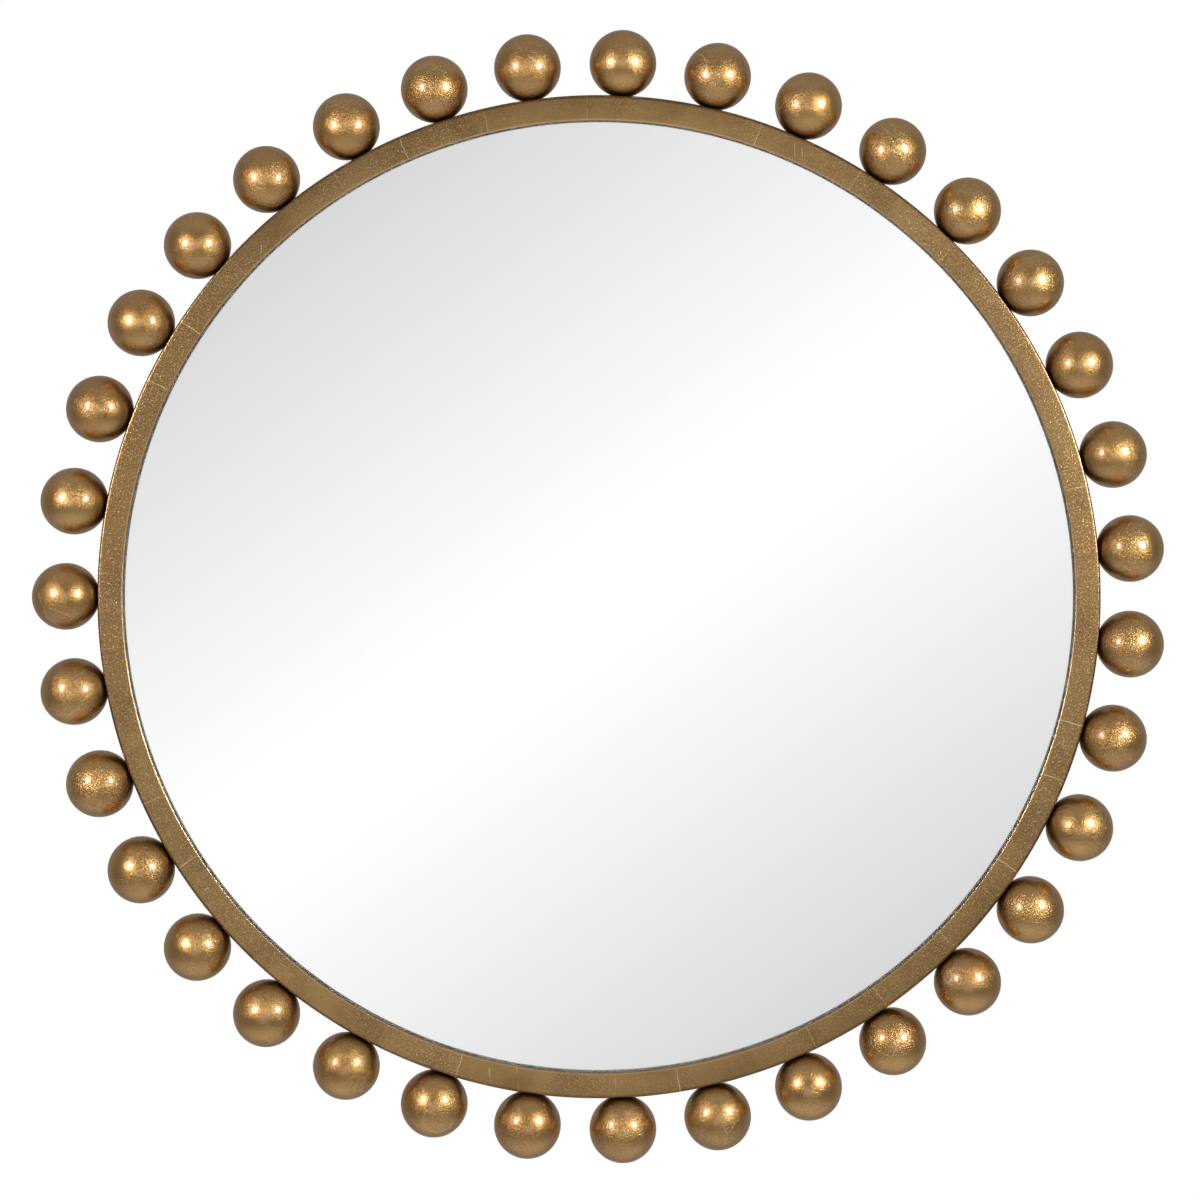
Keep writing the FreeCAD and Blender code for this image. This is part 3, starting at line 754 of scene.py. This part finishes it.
BRACKET_SCREW = (0.0035, 0.0070, 0.0022)   # shank diameter, head diameter, head height
BRACKET_SCREW_LENGTH = 0.0065
MACHINE_SCREW = (0.0040, 0.0070, 0.0022)
SCREW_OVERSHOOT = 0.001
STRAP_HOLES = (0.011, 0.031)  # from the hinge axis down to the screws
HINGE_OVERHANG = 0.002        # of the hinge axis above the top of the hanging rail
HINGE_SPACING = 0.4064        # between the two hangers
STRAP_THICKNESS = 0.0024
BUMPER_BORE = 0.010           # of rubber under the head of a bumper's screw
RECESS_REACH = 0.56           # of the cross recess, as a share of the head's radius
RECESS_WIDTH = 0.00085
RECESS_DEPTH = 0.0011
RECESS_TAPER = 0.62           # of the cross at its floor, against its top
RECESS_CLEAR = 0.001          # of the cutter above the head
SCREW_STEPS = 32
SCREW_POINT = 0.6             # of the tip's bevel, as a share of the shank's radius
SCREW_DOME = 0.6              # of the head's rounded rim, as a share of its height
SCREW_SHARP = math.radians(32)  # between faces, from which an edge is sharp


def cross_cutter(head_radius, head_top):
    """A tapered cross that is wider at the top of the head than at its floor."""
    mesh = bmesh.new()
    reach = head_radius * RECESS_REACH
    rings = []
    for y, share in ((head_top + RECESS_CLEAR, 1.0), (head_top - RECESS_DEPTH, RECESS_TAPER)):
        arm, half = reach * share, RECESS_WIDTH / 2 * (0.55 + 0.45 * share)
        quarter = [(arm, -half), (arm, half), (half, half)]
        corners = [(x * math.cos(turn) - z * math.sin(turn), x * math.sin(turn) + z * math.cos(turn))
                   for turn in (0, math.pi / 2, math.pi, 3 * math.pi / 2) for x, z in quarter]
        rings.append([mesh.verts.new((x, y, z)) for x, z in corners])
    for step in range(len(rings[0])):
        ahead = (step + 1) % len(rings[0])
        mesh.faces.new([rings[0][step], rings[0][ahead], rings[1][ahead], rings[1][step]])
    mesh.faces.new(rings[0])
    mesh.faces.new(list(reversed(rings[1])))
    bmesh.ops.recalc_face_normals(mesh, faces=mesh.faces)
    data = bpy.data.meshes.new("cross recess")
    mesh.to_mesh(data)
    mesh.free()
    cutter = bpy.data.objects.new("cross_recess", data)
    bpy.context.scene.collection.objects.link(cutter)
    return cutter


def pan_head_screw(name, sizes, length):
    """One screw on the Y axis with its seat at the origin and its head towards +Y."""
    shank_diameter, head_diameter, height = sizes
    shank, head = shank_diameter / 2, head_diameter / 2
    point = shank * SCREW_POINT
    crown = height * SCREW_DOME
    dome = arc((head - crown, height - crown), crown, 0, 90, 6)
    outline = ([(0, -length), (shank - point, -length), (shank, point - length), (shank, 0), (head, 0)]
               + dome + [(0, height)])
    blank = lathe(name, outline, SCREW_STEPS, closed=False)
    cutter = cross_cutter(head, height)
    cut = blank.modifiers.new("recess", "BOOLEAN")
    cut.object = cutter
    cut.operation = "DIFFERENCE"
    cut.solver = "EXACT"
    blank.data = bpy.data.meshes.new_from_object(
        blank.evaluated_get(bpy.context.evaluated_depsgraph_get()))
    blank.modifiers.clear()
    bpy.data.objects.remove(cutter)
    blank.data.set_sharp_from_angle(angle=SCREW_SHARP)
    return blank


def screws_tree(material):
    """The given screw at each point, turned at random about its own axis."""
    tree, sockets, given = geometry_tree("driven screws", {
        "Seats": "Geometry", "Screw": "Object", "Seed": "Int"})
    screw = add_node(tree, "GeometryNodeObjectInfo", {"Object": given["Screw"]}).outputs["Geometry"]
    turn = add_node(tree, "FunctionNodeRandomValue", {2: 0.0, 3: math.pi / 2, "Seed": given["Seed"]},
                    data_type="FLOAT").outputs["Value"]
    turned = add_node(tree, "ShaderNodeCombineXYZ", {1: turn}).outputs[0]
    turned = add_node(tree, "FunctionNodeEulerToRotation", {0: turned}).outputs[0]
    placed = add_node(tree, "GeometryNodeInstanceOnPoints",
                      {"Points": given["Seats"], "Instance": screw, "Rotation": turned}).outputs[0]
    whole = add_node(tree, "GeometryNodeRealizeInstances", {0: placed}).outputs[0]
    send_out(tree, whole, material)
    return tree, sockets


hinge_height = rail_high.z + HINGE_OVERHANG
bumper_low, bumper_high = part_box("bumper_right")
bumper_x = (bumper_low.x + bumper_high.x) / 2
bumper_z = (bumper_low.z + bumper_high.z) / 2
leg_outside = math.sqrt((wall_inner - BRACKET_WALL_GAP) ** 2 - (BRACKET_WIDTH / 2) ** 2)
bracket_reach = leg_outside - BRACKET_GAUGE - (BRACKET_FOOT - BRACKET_GAUGE) / 2
bracket_seats = [at_clock(0.0, board_rear + BRACKET_GAUGE, bracket_reach, turn) for turn in bracket_turns]
strap_seats = [(side * HINGE_SPACING / 2, rail_rear + STRAP_THICKNESS, hinge_height - drop)
               for side in (-1, 1) for drop in STRAP_HOLES]
bumper_seats = [(side * bumper_x, rail_rear + BUMPER_BORE, bumper_z) for side in (-1, 1)]
through_rail = rail_high.y - rail_low.y + SCREW_OVERSHOOT

driven, driven_sockets = screws_tree(zinc)
screw_sets = (
    ("cross_bracket_screws", "bracket_screws", BRACKET_SCREW, BRACKET_SCREW_LENGTH, bracket_seats, 3),
    ("cross_strap_screws", "strap_screws", MACHINE_SCREW, STRAP_THICKNESS + through_rail, strap_seats, 5),
    ("cross_bumper_screws", "bumper_screws", MACHINE_SCREW, BUMPER_BORE + through_rail, bumper_seats, 8),
)
for name, node, sizes, length, seats, seed in screw_sets:
    one_screw = pan_head_screw("one_" + name, sizes, length)
    screws = grown(name, driven, driven_sockets, {"Screw": one_screw, "Seed": seed}, seats)
    bpy.data.objects.remove(one_screw)
    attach(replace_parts(screws, node), "mirror")


# ---- The bumpers ------------------------------------------------------------------------
# Black rubber stand-offs on the lower rail that keep the balls 1.5 mm off the wall.

refinish(rubber, "bumper_left", "bumper_right")


# ---- The floor --------------------------------------------------------------------------
# A pale floor well below the mirror, which would hang on a wall. It fades out to the white
# background, and metal and glass see the room in its place.

FLOOR_Z = -1.35
FLOOR_RADIUS = 2.9
FLOOR_FADE = (1.75, 3.10)     # from the middle of the floor to where it is gone
FLOOR_PALE = (0.80, 0.80, 0.79, 1.0)
FLOOR_ROUGHNESS = 0.9

bpy.ops.mesh.primitive_circle_add(vertices=96, radius=FLOOR_RADIUS, fill_type="NGON", location=(0, 0, 0))
floor = bpy.context.object
floor.name = "floor"
for corner in floor.data.vertices:
    corner.co.z = FLOOR_Z
floor_paint, floor_tree, floor_surface = new_material("pale floor")
floor_surface.inputs["Base Color"].default_value = FLOOR_PALE
floor_surface.inputs["Roughness"].default_value = FLOOR_ROUGHNESS
floor_out = add_node(floor_tree, "ShaderNodeVectorMath", {0: object_place(floor_tree)},
                     operation="LENGTH").outputs["Value"]
floor_path = floor_tree.nodes.new("ShaderNodeLightPath").outputs
floor_mirrored = maths(floor_tree, "MAXIMUM", floor_path["Is Glossy Ray"],
                       floor_path["Is Transmission Ray"])
gone = maths(floor_tree, "MAXIMUM", floor_mirrored, between(floor_tree, floor_out, *FLOOR_FADE))
clear = floor_tree.nodes.new("ShaderNodeBsdfTransparent").outputs[0]
faded = add_node(floor_tree, "ShaderNodeMixShader",
                 {0: gone, 1: floor_surface.outputs[0], 2: clear}).outputs[0]
floor_tree.links.new(faded, floor_tree.nodes["Material Output"].inputs["Surface"])
floor.data.materials.append(floor_paint)


# ---- The room ---------------------------------------------------------------------------
# A white background. Metal and glass see a studio: dim all round, paler above and below, and
# one wide bright band in front, from lower left to upper right.

VIEW_DISTANCE = 2.70
VIEW_UP = 0.10
BAND_TILT = math.radians(35)  # of the direction across the band, from upright towards the left
BAND_PEAK = 1.10
BAND_FADE = 0.37              # how much light is lost from the band to the rim of the glass
BAND_AIM = (0.010, -0.994, -0.108)  # towards the middle of the patch that holds the band
PATCH_EDGE = (0.925, 0.970)   # cosines from BAND_AIM between which the patch begins
BAND_END = 2.2                # how much brighter the band is past the upper right rim of the glass
ROOM_FRONT = 0.15
ROOM_SIDE = 0.20
ROOM_ABOVE = 0.42
ROOM_BELOW = 0.66
ROOM_BEHIND = 0.34
AMBIENT = 0.38                # what matt surfaces see

world = bpy.data.worlds.new("studio")
bpy.context.scene.world = world
world.use_nodes = True
sky = world.node_tree
direction = add_node(sky, "ShaderNodeTexCoord").outputs["Generated"]
toward = add_node(sky, "ShaderNodeSeparateXYZ", {0: direction}).outputs
front = maths(sky, "MAXIMUM", maths(sky, "MULTIPLY", toward["Y"], -1.0), 0.05)
reach = VIEW_DISTANCE / sight_radius
upward = maths(sky, "DIVIDE", toward["Z"], front)
rightward = maths(sky, "DIVIDE", toward["X"], front)
rise = maths(sky, "MULTIPLY", upward, math.cos(BAND_TILT) * reach)
drift = maths(sky, "MULTIPLY", rightward, -math.sin(BAND_TILT) * reach)
centre_shift = VIEW_UP * math.cos(BAND_TILT) / sight_radius
off_band = maths(sky, "ABSOLUTE", maths(sky, "ADD", maths(sky, "ADD", rise, drift), centre_shift))
band = maths(sky, "SUBTRACT", BAND_PEAK, maths(sky, "MULTIPLY", off_band, BAND_FADE))
band = maths(sky, "MAXIMUM", band, ROOM_FRONT)
along_band = maths(sky, "ADD", maths(sky, "MULTIPLY", rightward, math.cos(BAND_TILT) * reach),
                   maths(sky, "MULTIPLY", upward, math.sin(BAND_TILT) * reach))
band = maths(sky, "MULTIPLY", band, between(sky, along_band, 0.85, 1.25, 1.0, BAND_END))


def blended(share, first, second):
    """A plain number that goes from first to second with share."""
    feeds = {"Value": share, "To Min": first, "To Max": second}
    return add_node(sky, "ShaderNodeMapRange", feeds).outputs[0]


level = blended(between(sky, front, 0.25, 0.85), ROOM_SIDE, ROOM_FRONT)
level = blended(between(sky, toward["Z"], 0.35, 0.95), level, ROOM_ABOVE)
level = blended(between(sky, toward["Z"], -0.35, -0.92), level, ROOM_BELOW)
level = blended(between(sky, toward["Y"], 0.0, 0.55), level, ROOM_BEHIND)
to_aim = add_node(sky, "ShaderNodeVectorMath", {0: direction, 1: BAND_AIM},
                  operation="DOT_PRODUCT").outputs["Value"]
level = blended(between(sky, to_aim, *PATCH_EDGE), level, band)
path = sky.nodes.new("ShaderNodeLightPath").outputs
mirrored = maths(sky, "MAXIMUM", path["Is Glossy Ray"], path["Is Transmission Ray"])
seen = blended(mirrored, AMBIENT, level)
seen = blended(path["Is Camera Ray"], seen, 1.0)
sky.links.new(seen, sky.nodes["Background"].inputs["Strength"])
sky.nodes["Background"].inputs["Color"].default_value = (1, 1, 1, 1)


# ---- The lamps --------------------------------------------------------------------------
# Two softboxes a little above the camera, 42 degrees to its left and right, give each ball
# its pair of highlights, the right one brighter and cooler. A large one lights the back.

def softbox(name, azimuth, elevation, distance, size, power, color):
    lamp = bpy.data.lights.new(name, "AREA")
    lamp.shape = "RECTANGLE"
    lamp.size, lamp.size_y = size
    lamp.energy = power
    lamp.color = color
    holder = bpy.data.objects.new(name, lamp)
    bpy.context.scene.collection.objects.link(holder)
    turn, lift = math.radians(azimuth), math.radians(elevation)
    holder.location = (distance * math.sin(turn) * math.cos(lift),
                       -distance * math.cos(turn) * math.cos(lift),
                       distance * math.sin(lift))
    holder.rotation_euler = holder.location.to_track_quat("Z", "Y").to_euler()
    holder.visible_camera = False
    return holder


softbox("left softbox", -42, 11, 2.6, (0.48, 0.80), 26.0, (1.0, 0.93, 0.97))
softbox("right softbox", 42, 12, 2.6, (0.56, 0.72), 37.0, (0.98, 0.98, 1.0))
softbox("back softbox", 165, 40, 4.5, (2.2, 1.6), 110.0, (1.0, 1.0, 1.0)).visible_glossy = False


# ---- The camera -------------------------------------------------------------------------
# Straight ahead of the mirror, a little above its centre, with the picture shifted to match.

PHOTO_WIDTH = 1200
METRES_PER_PIXEL = 0.0009868  # at the plane through the balls
CENTRE_COLUMN = 599.0
CENTRE_ROW = 596.3

lens = bpy.data.cameras.new("camera")
camera = bpy.data.objects.new("camera", lens)
bpy.context.scene.collection.objects.link(camera)
bpy.context.scene.camera = camera
camera.location = (0.0, -VIEW_DISTANCE, VIEW_UP)
camera.rotation_euler = (math.radians(90), 0, 0)
view_width = PHOTO_WIDTH * METRES_PER_PIXEL
lens.sensor_width = 36.0
lens.lens = lens.sensor_width * VIEW_DISTANCE / view_width
lens.shift_x = 0.5 - CENTRE_COLUMN / PHOTO_WIDTH
lens.shift_y = CENTRE_ROW / PHOTO_WIDTH - 0.5 - VIEW_UP / view_width
bpy.context.scene.view_settings.view_transform = "Standard"
